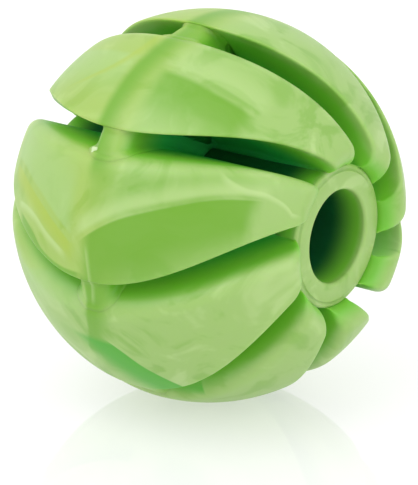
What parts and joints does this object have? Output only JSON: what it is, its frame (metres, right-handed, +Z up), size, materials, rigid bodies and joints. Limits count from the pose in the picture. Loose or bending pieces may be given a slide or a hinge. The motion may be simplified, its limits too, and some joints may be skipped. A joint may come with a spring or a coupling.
{
  "type": "ribbed puzzle ball",
  "caption": "Soft moulded ball of curved ribs that form chevrons, with deep slots between them, round a hollow centre tube.",
  "frame": {"origin": "centre of the ball, which is the middle of the tube's bore", "axes": "+X along the tube towards the open end that the picture shows, +Z up as the ball lies on a table, -Y towards the picture's viewer"},
  "size_m": [0.0656, 0.075, 0.075],
  "materials": {
    "tpr_ribs": "satin, slightly translucent marbled green thermoplastic rubber",
    "tpr_web": "satin marbled green thermoplastic rubber, deeper green",
    "tpr_tube": "satin marbled green thermoplastic rubber, darker inside the bore",
    "tpr_gate": "glossy pale green thermoplastic rubber"
  },
  "bodies": {
    "root": {"centre_tube": "tpr_tube", "rib_1": "tpr_ribs", "rib_2": "tpr_ribs", "rib_3": "tpr_ribs", "rib_4": "tpr_ribs", "rib_5": "tpr_ribs", "rib_6": "tpr_ribs", "rib_7": "tpr_ribs", "rib_8": "tpr_ribs", "web_1": "tpr_web", "web_2": "tpr_web", "web_3": "tpr_web", "web_4": "tpr_web", "web_5": "tpr_web", "web_6": "tpr_web", "web_7": "tpr_web", "web_8": "tpr_web", "gate_mark": "tpr_gate"}
  },
  "joints": []
}
